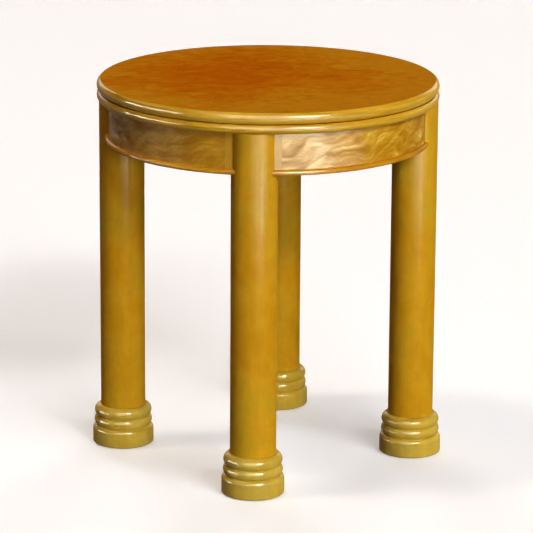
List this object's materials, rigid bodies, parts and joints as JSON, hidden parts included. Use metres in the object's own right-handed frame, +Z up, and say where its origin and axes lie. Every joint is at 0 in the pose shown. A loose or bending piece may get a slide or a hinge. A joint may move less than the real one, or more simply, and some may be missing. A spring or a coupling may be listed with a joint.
{
  "type": "dining table",
  "caption": "Round dining table with a veneered top, a doubled bullnosed edge, bowed aprons with a bead, and stout round columns on turned feet.",
  "frame": {"origin": "on the floor, under the middle of the round top", "axes": "+Z up; the columns stand on -Y (front), +X (right), +Y (back) and -X (left)"},
  "size_m": [0.6956, 0.6956, 0.75],
  "materials": {
    "top_veneer": "gloss lacquer over orange-brown mottled veneer",
    "edging": "gloss lacquer over honey-coloured solid wood",
    "ring_wood": "satin lacquer, hidden under the top",
    "column_wood": "gloss lacquer over upright-grained golden wood",
    "foot_wood": "gloss lacquer over turned yellow-amber wood",
    "apron_veneer": "gloss lacquer over figured veneer",
    "bead_wood": "gloss lacquer over orange-amber solid wood",
    "strip_wood": "gloss lacquer over straight-grained solid wood",
    "inner_wood": "bare planed hardwood",
    "screw_steel": "zinc-plated",
    "glide_nylon": "matt moulded nylon"
  },
  "bodies": {
    "root": {"top_board": "top_veneer", "board_edging": "edging", "under_ring": "ring_wood", "ring_edging": "edging", "ring_screws": "screw_steel", "column_front": "column_wood", "column_right": "column_wood", "column_back": "column_wood", "column_left": "column_wood", "foot_front": "foot_wood", "foot_right": "foot_wood", "foot_back": "foot_wood", "foot_left": "foot_wood", "glide_front": "glide_nylon", "glide_right": "glide_nylon", "glide_back": "glide_nylon", "glide_left": "glide_nylon", "glide_screws": "screw_steel", "apron_front_right": "apron_veneer", "apron_back_right": "apron_veneer", "apron_back_left": "apron_veneer", "apron_front_left": "apron_veneer", "bead_front_right": "bead_wood", "bead_back_right": "bead_wood", "bead_back_left": "bead_wood", "bead_front_left": "bead_wood", "strip_front_to_right": "strip_wood", "strip_right_to_front": "strip_wood", "strip_right_to_back": "strip_wood", "strip_back_to_right": "strip_wood", "strip_back_to_left": "strip_wood", "strip_left_to_back": "strip_wood", "strip_left_to_front": "strip_wood", "strip_front_to_left": "strip_wood", "apron_dowels": "inner_wood", "bearer_across": "inner_wood", "bearer_front_back": "inner_wood", "bearer_screws": "screw_steel", "block_front_right_a": "inner_wood", "block_front_right_b": "inner_wood", "block_back_right_a": "inner_wood", "block_back_right_b": "inner_wood", "block_back_left_a": "inner_wood", "block_back_left_b": "inner_wood", "block_front_left_a": "inner_wood", "block_front_left_b": "inner_wood", "block_screws": "screw_steel"}
  },
  "joints": []
}
